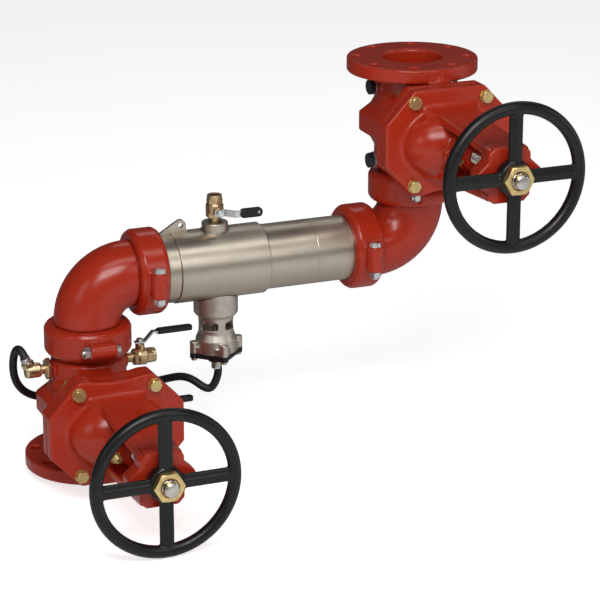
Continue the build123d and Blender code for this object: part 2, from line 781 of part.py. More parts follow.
def check_spring_pair():
    """Two torsion coils, one each side of the clapper's arm."""
    turns = coil(6.6, 0.7, 2.0, 5.0)
    first = Pos(HINGE_X, 6.5, HINGE_Z) * Rot(-90, 0, 0) * turns
    second = Pos(HINGE_X, -6.5, HINGE_Z) * Rot(90, 0, 0) * turns
    return [first, second]


# ================================================================== relief valve, hanging below the tube's axis
def foot_plan(radius):
    """Square with its corners on the X and Y axes, rounded, with a lug at each corner."""
    square = Rot(0, 0, 45) * RectangleRounded(2 * radius * 0.72, 2 * radius * 0.72, 8)
    for x, y in ((RELIEF_LUG_R, 0), (-RELIEF_LUG_R, 0), (0, RELIEF_LUG_R), (0, -RELIEF_LUG_R)):
        square = square + Pos(x, y) * Circle(7.5)
    return square


def lug_places():
    return PolarLocations(RELIEF_LUG_R, 4)


def relief_body():
    """Collar, windowed neck and square foot of the relief valve."""
    collar_and_neck = turned(
        (0, FOOT_BOTTOM),
        (36, FOOT_BOTTOM),
        (36, FOOT_TOP + 3),
        (RELIEF_NECK_R + 1.5, -128),
        (RELIEF_NECK_R, -124),
        (RELIEF_NECK_R, COLLAR_BOTTOM - 2),
        (RELIEF_NECK_R + 2, COLLAR_BOTTOM),
        (COLLAR_R - 4, COLLAR_BOTTOM),
        (COLLAR_R, COLLAR_BOTTOM + 5),
        (COLLAR_R, -40),
        (0, -40),
    )
    foot = Pos(0, 0, FOOT_BOTTOM) * extrude(foot_plan(RELIEF_LUG_R + 6), amount=FOOT_TOP - FOOT_BOTTOM - 8)
    body = collar_and_neck + foot
    for place in lug_places():
        body = body + place * bar(7.5, FOOT_BOTTOM, FOOT_TOP + 1)
    tube = Pos(-RELIEF_X, 0, 0) * to_x(bar(HOUSING_R + 0.15, 180, 290))
    body = body - tube - bar(BRANCH_R + 0.1, -88.2, -30)
    body = body - bar(17, RELIEF_SEAT_Z, -80)
    body = body - bar(25, -126, RELIEF_SEAT_Z - 2) - bar(5 + SHAFT_GAP, -150, -120)
    body = body - bar(24, FOOT_BOTTOM - 1, -132)
    for turn in range(4):
        body = body - Rot(0, 0, 45 + 90 * turn) * relief_window()
    for place in lug_places():
        body = body - place * bar(3.3, FOOT_BOTTOM - 1, FOOT_BOTTOM + 14)
    return body


def relief_window():
    """One discharge window: a slot with soft corners through the neck's wall."""
    slot = Plane.YZ * RectangleRounded(31.5, 14.5, 4.5)
    return Pos(14, 0, -109.5) * extrude(slot, amount=30)


def relief_cover():
    """Cover under the diaphragm, with the sensing port in its middle."""
    top = FOOT_BOTTOM - DIAPHRAGM_T
    plate = Pos(0, 0, top - COVER_T) * extrude(foot_plan(RELIEF_LUG_R + 6), amount=COVER_T)
    plate = plate + turned((0, top - COVER_T - 11), (14, top - COVER_T - 11), (20, top - COVER_T), (0, top - COVER_T))
    plate = plate - bar(24, top - 4, top + 1) - bar(16, top - 12, top + 1) - bar(5, top - 30, top + 1)
    for place in lug_places():
        plate = plate - place * bar(3.3, top - 20, top + 1)
    return plate


def relief_diaphragm():
    """Thin rubber sheet clamped at its rim, open in the middle for the stem's hub."""
    sheet = Pos(0, 0, FOOT_BOTTOM - DIAPHRAGM_T + 0.05)
    sheet = sheet * extrude(foot_plan(RELIEF_LUG_R + 6.4) - Circle(10.1), amount=DIAPHRAGM_T - 0.1)
    for place in lug_places():
        sheet = sheet - place * bar(3.3, FOOT_BOTTOM - 10, FOOT_BOTTOM + 5)
    return sheet


def relief_bolt_set():
    """Four cap screws up through the cover into the lugs."""
    bottom = FOOT_BOTTOM - DIAPHRAGM_T - COVER_T
    screw = bar(3.2, bottom, FOOT_BOTTOM + 12) + turned(
        (0, bottom - 5),
        (4.6, bottom - 5),
        (5.4, bottom - 4),
        (5.4, bottom),
        (0, bottom),
    )
    return [place * screw for place in lug_places()]


def relief_stem():
    """Sliding stem with its seat disc above and its hub through the diaphragm below."""
    return turned(
        (0, -166),
        (9.5, -166),
        (10, -165),
        (10, -149),
        (19, -149),
        (19, -146),
        (5, -144),
        (5, -104),
        (21, -104),
        (21, RELIEF_SEAT_Z - 2.1),
        (0, RELIEF_SEAT_Z - 2.1),
    )


def relief_spring():
    """Coil that pushes the stem down and so opens the valve."""
    return Pos(0, 0, -144.0) * coil(14.5, 1.2, 3.6, 10.7)


# ================================================================== test cock along +X, stem up +Z
def cock_body():
    """Ball valve body with its threaded nipple and the stem's neck."""
    body = bar(PORT_R - SHAFT_GAP, -9, COCK_BODY_START + 1)
    body = body + Pos(0, 0, COCK_BODY_START) * hex_block(27, 9)
    body = body + turned(
        (0, 17),
        (14.5, 19),
        (15.5, 22),
        (15.5, 34),
        (13, 37),
        (0, 37),
        soft_from=12,
        soft=0.8,
    )
    body = body + Pos(0, 0, 35) * hex_block(24.5, 11)
    body = body + turned((0, 44), (13, 44), (13, COCK_LENGTH - 1), (12, COCK_LENGTH), (0, COCK_LENGTH))
    body = to_x(body)
    body = body + Pos(COCK_STEM_AT, 0, 0) * bar(8, 8, 22)
    body = body + Pos(COCK_STEM_AT, 0, 20) * hex_block(13, 4)
    body = body - to_x(bar(COCK_BORE_R, -20, 80))
    body = body - to_x(bar(8.2, COCK_LENGTH - 14, 80))
    body = body - Pos(COCK_STEM_AT, 0, 0) * Sphere(BALL_R + SHAFT_GAP)
    return body - Pos(COCK_STEM_AT, 0, 0) * bar(4 + SHAFT_GAP, 5, 40)


def cock_ball(open_at_rest):
    """Bored ball and its stem, on the Z axis."""
    bore = to_x(bar(COCK_BORE_R, -20, 20))
    if not open_at_rest:
        bore = Rot(0, 0, 90) * bore
    return Sphere(BALL_R) - bore + bar(4, BALL_R - 3, 33)


def cock_lever(reach):
    """Bent steel strip from the stem, with the nut that holds it."""
    drop = outline(
        (-9, 25),
        (9, 25),
        (24, LEVER_RISE - LEVER_T / 2),
        (reach - 4, LEVER_RISE - LEVER_T / 2),
        (reach - 4, LEVER_RISE + LEVER_T / 2),
        (23, LEVER_RISE + LEVER_T / 2),
        (8, 25 + LEVER_T),
        (-9, 25 + LEVER_T),
    )
    strip = extrude(Plane.XZ * drop, amount=6, both=True)
    strip = strip - bar(4.02, 20, 30)
    nut = Pos(0, 0, 25 + LEVER_T + 0.02) * hex_block(11, 4.5, 4.02)
    return [strip, nut]


def cock_grip(reach, start):
    """Dipped vinyl sleeve over the lever, with a hanging hole near its end."""
    half_w = 8.2
    length = reach - start
    plan = Pos((start + reach) / 2, 0) * RectangleRounded(length, 2 * half_w, 7.5)
    sleeve = Pos(0, 0, LEVER_RISE - 4) * extrude(plan, amount=8)
    sleeve = fillet(sleeve.edges().filter_by_position(Axis.Z, LEVER_RISE + 3.9, LEVER_RISE + 4.1), 2.5)
    strip = Pos(0, 0, LEVER_RISE) * Box(2 * reach - 8 + 0.1, 12.1, LEVER_T + 0.1)
    return sleeve - strip - Pos(reach - 6.5, 0, 0) * bar(3.4, 0, 80) if reach == LEVER_SHORT else sleeve - strip


def cock_places():
    """Frame of each test cock: its port's face, its axis on +X and its stem on +Z."""
    flat = Pos(PORT_FACE, 0, 0)
    upright_cock = Rot(0, 0, 90) * Rot(0, -90, 0)
    return {
        1: (Pos(0, 0, FACE_TO_STEM - PORT_Z) * flat, LEVER_LONG, 30.0),
        2: (Pos(0, 0, FACE_TO_STEM + PORT_Z) * flat, LEVER_LONG, 30.0),
        3: (Pos(RELIEF_X, 0, TUBE_Z + TOP_BOSS_Z - COCK_3_SINK) * upright_cock, LEVER_SHORT, 31.0),
        4: (Pos(RISER_SPACING, 0, 2 * TUBE_Z - FACE_TO_STEM - PORT_Z) * flat, LEVER_LONG, 30.0),
    }


def cock_parts(number):
    """Ball, lever and grip of one cock, in the row's frame."""
    place, reach, grip_start = cock_places()[number]
    rest_turn = Rot(0, 0, -90) if number == 3 else Rot(0, 0, 0)
    stem_place = place * Pos(COCK_STEM_AT, 0, 0)
    ball = stem_place * cock_ball(number != 3)
    lever = [stem_place * rest_turn * piece for piece in cock_lever(reach)]
    return ball, lever, stem_place * rest_turn * cock_grip(reach, grip_start)


# ================================================================== sensing line
def sensing_fitting():
    """Brass elbow fitting on the inlet valve's left port, pointing away from the neck."""
    level = FACE_TO_STEM + PORT_Z
    shank = bar(PORT_R - SHAFT_GAP, 56, 96)
    nut = Pos(0, 0, PORT_FACE + 1) * hex_block(25, 9)
    body = turned((0, 86), (11.5, 86), (13, 89), (13, 108), (11, 113), (0, 113))
    run = Pos(0, 0, level) * to_x(Rot(0, 180, 0) * (shank + nut + body))
    tail = Pos(-103, 0, level) * Rot(0, -22, 0) * bar(9.5, 4, 17)
    tail_nut = Pos(-103, 0, level) * Rot(0, -22, 0) * Pos(0, 0, 9) * hex_block(20, 8)
    return run + tail + tail_nut - Pos(0, 0, level) * to_x(Rot(0, 180, 0) * bar(5, 50, 103))


def cover_fitting():
    """Nipple between the relief valve's cover and the hose."""
    top = TUBE_Z + FOOT_BOTTOM - DIAPHRAGM_T - COVER_T
    body = bar(8.5, top - 15, top - 11.1) + bar(4.9, top - 12, top - 6)
    return Pos(RELIEF_X, 0, 0) * (body - bar(2.5, top - 20, top))


def sensing_hose():
    """Rubber hose from the inlet valve, round the back of its neck, to the relief valve."""
    level = FACE_TO_STEM + PORT_Z
    tail = Pos(-103, 0, level) * Rot(0, -22, 0)
    start = (tail * Pos(0, 0, 17.1)).position
    end = Vector(RELIEF_X, 0, TUBE_Z + FOOT_BOTTOM - DIAPHRAGM_T - COVER_T - 15.1)
    behind = PIPE_R + 33
    path = Spline(
        start,
        (-118, 20, level + 34),
        (-121, 46, level - 14),
        (-96, 64, level - 62),
        (-60, 80, level - 82),
        (10, behind, level - 88),
        (90, behind, level - 84),
        (156, 68, level - 76),
        (198, 22, level - 67),
        (222, 2, level - 78),
        (RELIEF_X - 0.3, 0, level - 62),
        end,
    )
    section = Plane(origin=path @ 0, z_dir=path % 0)
    hose = sweep(section * Circle(HOSE_R), path=path)
    return hose - tail * bar(12, 0, 17.1) - Pos(RELIEF_X, 0, 0) * bar(12, end.Z, end.Z + 12)


# ================================================================== the whole part
def nodes():
    """Every node's name and its solids, in the row's frame."""
    parts = {}
    inlet_ports = [(1, -1), (-1, -1), (-1, 1)]
    outlet_ports = [(-1, 1), (-1, -1), (1, 1), (1, -1)]
    both = (place_inlet, place_outlet)

    parts["inlet_valve_body"] = [place_inlet(valve_body(inlet_ports))]
    parts["outlet_valve_body"] = [place_outlet(valve_body(outlet_ports))]
    shapes = {
        "bonnet": bonnet(),
        "stem": stem(),
        "wedge": gate(),
        "handwheel": handwheel(),
        "yoke_nut": yoke_nut(),
        "wheel_nut": wheel_nut(),
    }
    for name, shape in shapes.items():
        parts["inlet_" + name] = [place_inlet(shape)]
        parts["outlet_" + name] = [place_outlet(shape)]
    groups = {
        "bonnet_gaskets": [bonnet_gasket()],
        "bonnet_bolts": bonnet_bolt_set(),
        "glands": [gland()],
        "gland_studs": gland_stud_set(),
        "stem_packings": packing_set(),
    }
    for name, pieces in groups.items():
        parts[name] = [place(piece) for place in both for piece in pieces]
    parts["pipe_plugs"] = [place_outlet(plug(side, level)) for side, level in outlet_ports[:3]]

    parts["inlet_elbow"] = [Pos(0, 0, TUBE_Z) * elbow()]
    parts["outlet_elbow"] = [Pos(RISER_SPACING, 0, TUBE_Z) * Rot(0, 180, 0) * elbow()]
    halves = coupling()
    places = coupling_places()
    for name, place in places.items():
        parts[name] = [place * half for half in halves]
    parts["coupling_gaskets"] = [place * coupling_gasket() for place in places.values()]
    parts["coupling_bolts"] = [place * piece for place in places.values() for piece in coupling_bolt_set()]

    parts["check_housing"] = [place_tube(check_housing())]
    parts["check_sleeve"] = [place_tube(check_sleeve())]
    parts["sleeve_seals"] = [place_tube(seal) for seal in sleeve_seals()]
    checks = {"check_1": (CHECK_1_X, HOUSING_BORE_R - 0.1), "check_2": (CHECK_2_X, SLEEVE_BORE_R - 0.1)}
    parts["check_pins"] = []
    parts["check_springs"] = []
    for name, (x, outer_r) in checks.items():
        place = Pos(x, 0, TUBE_Z)
        parts[name + "_seat"] = [place * check_seat(outer_r)]
        parts[name + "_clapper"] = [place * check_clapper()]
        parts[name + "_disc"] = [place * check_disc()]
        parts["check_pins"].append(place * check_pin())
        parts["check_springs"] += [place * spring for spring in check_spring_pair()]

    relief = Pos(RELIEF_X, 0, TUBE_Z)
    parts["relief_body"] = [relief * relief_body()]
    parts["relief_cover"] = [relief * relief_cover()]
    parts["relief_diaphragm"] = [relief * relief_diaphragm()]
    parts["relief_bolts"] = [relief * bolt for bolt in relief_bolt_set()]
    parts["relief_stem"] = [relief * relief_stem()]
    parts["relief_spring"] = [relief * relief_spring()]
    parts["sensing_hose"] = [sensing_hose()]
    parts["hose_fittings"] = [sensing_fitting(), cover_fitting()]

    parts["cock_bodies"] = [cock_places()[number][0] * cock_body() for number in cock_places()]
    for number in cock_places():
        ball, lever, grip = cock_parts(number)
        parts[f"cock_{number}_ball"] = [ball]
        parts[f"cock_{number}_lever"] = lever
        parts[f"cock_{number}_grip"] = [grip]
    return parts


os.makedirs("parts", exist_ok=True)
for node, pieces in nodes().items():
    shape = pieces[0] if len(pieces) == 1 else Compound(children=list(pieces))
    export_step(shape, f"parts/{node}.step")
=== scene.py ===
import json
import math

import bmesh
import bpy
import numpy as np
from mathutils import Matrix, Vector


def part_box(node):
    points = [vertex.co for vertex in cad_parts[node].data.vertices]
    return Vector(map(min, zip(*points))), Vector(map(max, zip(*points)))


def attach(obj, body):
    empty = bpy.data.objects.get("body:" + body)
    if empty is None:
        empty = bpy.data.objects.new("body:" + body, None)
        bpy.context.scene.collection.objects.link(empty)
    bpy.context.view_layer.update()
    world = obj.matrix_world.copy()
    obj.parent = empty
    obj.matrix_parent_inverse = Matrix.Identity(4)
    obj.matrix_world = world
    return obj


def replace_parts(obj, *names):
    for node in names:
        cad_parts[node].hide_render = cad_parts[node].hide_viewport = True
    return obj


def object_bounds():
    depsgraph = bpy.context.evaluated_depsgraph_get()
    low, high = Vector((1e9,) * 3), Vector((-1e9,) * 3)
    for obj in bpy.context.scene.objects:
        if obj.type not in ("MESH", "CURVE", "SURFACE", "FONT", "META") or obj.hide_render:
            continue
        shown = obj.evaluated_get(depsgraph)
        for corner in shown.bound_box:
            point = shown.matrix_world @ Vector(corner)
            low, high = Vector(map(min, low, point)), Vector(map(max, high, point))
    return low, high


# Looks for the backflow preventer. Metres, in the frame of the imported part.
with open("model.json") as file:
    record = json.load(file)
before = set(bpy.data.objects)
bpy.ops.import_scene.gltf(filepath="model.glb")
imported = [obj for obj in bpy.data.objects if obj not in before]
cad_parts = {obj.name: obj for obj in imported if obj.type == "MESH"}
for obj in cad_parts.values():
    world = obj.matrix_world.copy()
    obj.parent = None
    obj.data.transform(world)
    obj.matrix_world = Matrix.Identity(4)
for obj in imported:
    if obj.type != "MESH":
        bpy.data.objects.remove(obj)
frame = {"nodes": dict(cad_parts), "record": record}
cad_low, cad_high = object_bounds()

# ------------------------------------------------------------------ places worked out from the frame
housing_low, housing_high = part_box("check_housing")
sleeve_low, sleeve_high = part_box("check_sleeve")
TUBE_Z = (sleeve_low.z + sleeve_high.z) / 2
HOUSING_R = (housing_high.y - housing_low.y) / 2
HOUSING_TOP = TUBE_Z + HOUSING_R
RELIEF_X = sum(corner.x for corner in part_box("relief_body")) / 2
COVER_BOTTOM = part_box("relief_cover")[0].z

# ------------------------------------------------------------------ sizes
STEM_PITCH = 0.00635
STEM_CREST = 0.01385
STEM_THREAD = 0.176                 # length of the stem from its tip to the thread's inner end
STEM_FOOT_R = 0.018                 # collar that sits in the wedge's slot
STEM_END_R = 0.0122                 # plain end beyond the thread
DOME_SIZE = (0.087, 0.062)          # half width and half height of a bonnet's dome at its foot
BLEND_BACK = 0.1535                 # a bonnet's blended corners, measured from the risers' plane
BLEND_FRONT = 0.176
PORT_RISE = 0.066                   # test ports, above and below the stem's axis
PORT_FACE = 0.068                   # end of a port's boss, beside the riser's axis
RING_R = 0.0141                     # sealing ring behind a pipe plug
RING_RIDGE = 0.0004
RING_RIDGES = 18
RING_BORE = 0.0122
FITTING_X = -0.103                  # bend of the sensing fitting
FITTING_TILT = 22                   # lean of its hose tail, degrees
FITTING_TAIL = 0.0172               # from the bend to the hose's end
COVER_NIPPLE = 0.0041               # from the relief cover to the hose's other end
COLLAR_FLAT = 0.0170                # half the width across flats of the fitting's large hexagon
COLLAR_CHAMFER = 0.0012
COLLAR_BORE = 0.0120
FERRULE_R = 0.0088
FERRULE_NECK_R = 0.0081
FERRULE_STEP = 0.0028
GLAND_STUD_X = 0.040                # gland studs, beside the stem's axis
STUD_NUT_FACE = 0.275               # front of the gland nuts, from the risers' plane
STUD_CREST = 0.00535
STUD_PITCH = 0.0015
STUD_THREAD_END = 0.287
BOSS_WELD_R = 0.0236                # run of the weld round the top boss
LUG_START = 0.1557                  # run of the weld along both sides of the lifting lug's foot
LUG_END = 0.1825
LUG_HALF_T = 0.0040


def stem_axis(side):
    """X and Z of a gate valve's stem."""
    low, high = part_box(side + "_stem")
    return (low.x + high.x) / 2, (low.z + high.z) / 2


# ================================================================== materials
def linear(red, green, blue):
    """Screen colour, 0 to 255, as the linear colour that shaders take."""
    channels = []
    for value in (red, green, blue):
        c = value / 255
        channels.append(c / 12.92 if c <= 0.04045 else ((c + 0.055) / 1.055) ** 2.4)
    return (*channels, 1.0)


def shade(colour, factor):
    return tuple(min(1.0, c * factor) for c in colour[:3]) + (1.0,)


EDGE_REACH = 1.8                    # width of the edge mask, as a multiple of the softened radius
EDGE_FLAT = 0.96                    # agreement of the two normals where the mask is still zero
EDGE_TURNED = 0.82
COAT_ROUGHNESS = 0.12


class Shader:
    """Short names for the nodes that the finishes are built from."""

    def __init__(self, name):
        self.material = bpy.data.materials.new(name)
        self.material.use_nodes = True
        self.tree = self.material.node_tree
        self.bsdf = self.tree.nodes["Principled BSDF"]
        self.place = self.node("ShaderNodeTexCoord").outputs["Object"]
        self.normal = None
        self.edge = None

    def node(self, kind, **settings):
        made = self.tree.nodes.new(kind)
        for key, value in settings.items():
            setattr(made, key, value)
        return made

    def join(self, source, target):
        self.tree.links.new(source, target)

    def put(self, socket, value):
        if isinstance(value, bpy.types.NodeSocket):
            self.join(value, socket)
        else:
            socket.default_value = value

    def stretched(self, scale):
        mapping = self.node("ShaderNodeMapping")
        self.join(self.place, mapping.inputs["Vector"])
        mapping.inputs["Scale"].default_value = scale
        return mapping.outputs["Vector"]

    def noise(self, scale, detail=4.0, stretch=None, roughness=0.55):
        made = self.node("ShaderNodeTexNoise")
        self.join(self.stretched(stretch) if stretch else self.place, made.inputs["Vector"])
        made.inputs["Scale"].default_value = scale
        made.inputs["Detail"].default_value = detail
        made.inputs["Roughness"].default_value = roughness
        return made.outputs["Fac"]

    def ramp(self, value, low, high, out_low=0.0, out_high=1.0):
        made = self.node("ShaderNodeMapRange")
        self.join(value, made.inputs["Value"])
        made.inputs["From Min"].default_value = low
        made.inputs["From Max"].default_value = high
        made.inputs["To Min"].default_value = out_low
        made.inputs["To Max"].default_value = out_high
        return made.outputs["Result"]

    def mix(self, factor, first, second):
        made = self.node("ShaderNodeMix", data_type="RGBA")
        self.put(made.inputs["Factor"], factor)
        self.put(made.inputs["A"], first)
        self.put(made.inputs["B"], second)
        return made.outputs["Result"]

    def math(self, operation, first, second):
        made = self.node("ShaderNodeMath", operation=operation)
        self.put(made.inputs[0], first)
        self.put(made.inputs[1], second)
        return made.outputs[0]

    def soften_edges(self, radius):
        """Rounds every edge by the given radius and gives a mask that is one along edges."""
        bevel = self.node("ShaderNodeBevel", samples=4)
        bevel.inputs["Radius"].default_value = radius
        self.normal = bevel.outputs["Normal"]
        wide = self.node("ShaderNodeBevel", samples=4)
        wide.inputs["Radius"].default_value = radius * EDGE_REACH
        dot = self.node("ShaderNodeVectorMath", operation="DOT_PRODUCT")
        self.join(wide.outputs["Normal"], dot.inputs[0])
        self.join(self.node("ShaderNodeNewGeometry").outputs["True Normal"], dot.inputs[1])
        self.edge = self.ramp(dot.outputs["Value"], EDGE_FLAT, EDGE_TURNED)

    def crevice(self, distance):
        """Ambient-occlusion mask that is one in corners and under ledges, where shade falls."""
        made = self.node("ShaderNodeAmbientOcclusion", samples=6)
        made.inputs["Distance"].default_value = distance
        return self.ramp(made.outputs["AO"], 0.75, 0.25)

    def bump(self, height, strength, distance):
        made = self.node("ShaderNodeBump")
        made.inputs["Strength"].default_value = strength
        made.inputs["Distance"].default_value = distance
        self.join(height, made.inputs["Height"])
        if self.normal is not None:
            self.join(self.normal, made.inputs["Normal"])
        self.normal = made.outputs["Normal"]

    def done(self, colour, roughness, metallic=0.0, coat=0.0, anisotropic=0.0, specular=0.5):
        self.put(self.bsdf.inputs["Base Color"], colour)
        self.put(self.bsdf.inputs["Roughness"], roughness)
        self.bsdf.inputs["Metallic"].default_value = metallic
        self.bsdf.inputs["Coat Weight"].default_value = coat
        self.bsdf.inputs["Coat Roughness"].default_value = COAT_ROUGHNESS
        self.bsdf.inputs["Anisotropic"].default_value = anisotropic
        self.bsdf.inputs["Specular IOR Level"].default_value = specular
        if self.normal is not None:
            self.join(self.normal, self.bsdf.inputs["Normal"])
        return self.material


def enamel(name, colour, edge_colour, gloss, shade_colour, soft_edge):
    """Sprayed enamel over a sand casting: orange peel, cast lumps, painted shade in the corners, thin
    edges.
    """
    s = Shader(name)
    s.soften_edges(soft_edge)
    broad = s.ramp(s.noise(9.0, 3.0), 0.3, 0.7)
    blotch = s.ramp(s.noise(55.0, 5.0), 0.35, 0.65)
    tint = s.mix(broad, shade(colour, 0.95), shade(colour, 1.05))
    tint = s.mix(s.math("MULTIPLY", blotch, 0.12), tint, shade(colour, 0.80))
    worn = s.math("MULTIPLY", s.edge, s.ramp(s.noise(160.0, 6.0), 0.5, 0.75))
    tint = s.mix(s.math("MULTIPLY", worn, 0.35), tint, edge_colour)
    # painted shade: the enamel is darkened in patches in corners and under ledges
    corner_shade = s.math("MULTIPLY", s.crevice(0.012), s.ramp(s.noise(80.0, 4.0), 0.3, 0.8, 0.35, 1.0))
    tint = s.mix(s.math("MULTIPLY", corner_shade, 0.5), tint, shade_colour)
    rough = s.ramp(s.noise(130.0, 4.0), 0.3, 0.7, gloss - 0.05, gloss + 0.07)
    s.bump(s.noise(38.0, 2.0), 0.05, 0.003)
    s.bump(s.noise(240.0, 2.0), 0.06, 0.0005)
    s.bump(s.noise(900.0, 2.0), 0.05, 0.0002)
    return s.done(tint, rough, coat=0.12, specular=0.34)


def brushed(name, colour, stretch, gloss):
    """Satin steel with fine parallel brush lines, faint smears, softened edges and painted shade in
    the corners.
    """
    s = Shader(name)
    s.soften_edges(0.0006)
    streak = s.noise(1.0, 6.0, stretch=stretch, roughness=0.7)
    coarse = s.noise(0.25, 3.0, stretch=stretch)
    smear = s.ramp(s.noise(14.0, 4.0), 0.35, 0.7)
    tint = s.mix(s.ramp(streak, 0.3, 0.7), shade(colour, 0.90), shade(colour, 1.08))
    tint = s.mix(s.math("MULTIPLY", s.ramp(coarse, 0.35, 0.65), 0.35), tint, shade(colour, 0.86))
    tint = s.mix(s.math("MULTIPLY", smear, 0.14), tint, shade(colour, 0.78))
    tint = s.mix(s.math("MULTIPLY", s.edge, 0.4), tint, shade(colour, 1.25))
    # painted shade: the steel is darkened in corners and under ledges
    tint = s.mix(s.math("MULTIPLY", s.crevice(0.01), 0.6), tint, linear(70, 62, 54))
    satin = s.ramp(streak, 0.3, 0.7, gloss - 0.05, gloss + 0.06)
    rough = s.math("ADD", satin, s.math("MULTIPLY", smear, 0.05))
    s.bump(streak, 0.08, 0.0004)
    s.bump(s.noise(30.0, 2.0), 0.04, 0.003)
    return s.done(tint, rough, metallic=1.0, anisotropic=0.4)


def cast_metal(name, colour, gloss, grain, tarnish_and_shade=None):
    """Blasted or tumbled casting: pitted skin, tarnish and painted shade in the corners, rubbed edges.
    """
    s = Shader(name)
    s.soften_edges(0.0009)
    blotch = s.ramp(s.noise(70.0, 5.0), 0.3, 0.7)
    fine = s.noise(1400.0, 2.0)
    tint = s.mix(blotch, shade(colour, 0.86), shade(colour, 1.08))
    tint = s.mix(s.math("MULTIPLY", s.ramp(fine, 0.4, 0.6), 0.2), tint, shade(colour, 0.7))
    tint = s.mix(s.math("MULTIPLY", s.edge, 0.55), tint, shade(colour, 1.35))
    # tarnish and painted shade: darker colour in corners and under ledges; without a tarnish colour, a
    # darkened copy of the metal
    tint = s.mix(s.math("MULTIPLY", s.crevice(0.008), 0.75), tint, tarnish_and_shade or shade(colour, 0.3))
    rough = s.ramp(s.noise(240.0, 4.0), 0.3, 0.7, gloss - 0.06, gloss + 0.08)
    s.bump(s.noise(320.0, 4.0), 0.22 * grain, 0.0006)
    s.bump(fine, 0.18 * grain, 0.0002)
    return s.done(tint, rough, metallic=1.0)


def plated(name, colour, second, gloss):
    """Passivated or bright plate: slow colour drift, tool marks, lighter edges, painted shade in the
    corners.
    """
    s = Shader(name)
    s.soften_edges(0.0004)
    drift = s.ramp(s.noise(120.0, 3.0), 0.35, 0.65)
    tint = s.mix(drift, colour, second)
    tint = s.mix(s.math("MULTIPLY", s.edge, 0.45), tint, shade(colour, 1.3))
    # painted shade: the plate is darkened in corners and under ledges
    tint = s.mix(s.math("MULTIPLY", s.crevice(0.005), 0.7), tint, shade(colour, 0.25))
    rough = s.ramp(s.noise(420.0, 4.0), 0.3, 0.7, gloss - 0.05, gloss + 0.08)
    s.bump(s.noise(700.0, 3.0), 0.12, 0.0003)
    return s.done(tint, rough, metallic=1.0)


def rubber(name, colour, gloss, grain_scale=600.0):
    """Moulded rubber or dipped vinyl with a fine skin and pale scuffs."""
    s = Shader(name)
    s.soften_edges(0.0006)
    scuff = s.ramp(s.noise(95.0, 6.0), 0.58, 0.75)
    tint = s.mix(s.ramp(s.noise(30.0, 3.0), 0.3, 0.7), shade(colour, 0.8), shade(colour, 1.3))
    tint = s.mix(s.math("MULTIPLY", scuff, 0.22), tint, linear(74, 74, 74))
    rough = s.ramp(s.noise(260.0, 4.0), 0.3, 0.7, gloss - 0.07, gloss + 0.09)
    s.bump(s.noise(grain_scale, 3.0), 0.22, 0.0003)
    return s.done(tint, rough, specular=0.4)


FLOOR_FADE = 0.5                    # the floor dims from this far ahead of the part to this far behind


def grey(level):
    return (level, level, level, 1)


def floor_material():
    """Matt white to the eye, where it also glows evenly; toward the object it is greyer and glows
    faintly ahead of the part as fill light, so it gives the object less light than a white floor, and
    least from behind it.
    """
    s = Shader("pale_floor")
    seen = s.node("ShaderNodeLightPath").outputs["Is Camera Ray"]
    paper = s.ramp(s.noise(2.0, 3.0), 0.3, 0.7, 0.93, 0.97)
    place = s.node("ShaderNodeSeparateXYZ")
    s.join(s.node("ShaderNodeNewGeometry").outputs["Position"], place.inputs[0])
    behind = s.ramp(place.outputs["Y"], -FLOOR_FADE, FLOOR_FADE)
    tint = s.mix(seen, s.mix(behind, grey(0.80), grey(0.35)), paper)
    # the floor glows: fully for the eye, faintly toward the object ahead of the part, as fill light
    glow = s.node("ShaderNodeMix")
    s.put(glow.inputs["Factor"], seen)
    s.put(glow.inputs["A"], s.ramp(place.outputs["Y"], -FLOOR_FADE, FLOOR_FADE, 0.36, 0.03))
    s.put(glow.inputs["B"], 1.0)
    s.join(glow.outputs["Result"], s.bsdf.inputs["Emission Strength"])
    s.bsdf.inputs["Emission Color"].default_value = grey(0.72)
    return s.done(tint, 0.6, specular=0.1)


RED = linear(180, 47, 23)
RED_EDGE = linear(198, 74, 48)
# dark red painted into the enamel's corners as shade
RED_SHADE = linear(62, 20, 14)
BLACK = linear(12, 12, 13)
COVER_BLACK = linear(24, 24, 25)
STEEL_BLACK = linear(34, 40, 46)
STEEL = linear(200, 190, 174)
BRUSH_LINES = (1500.0, 25.0, 25.0)  # fine along the tube's axis, so the lines run round it
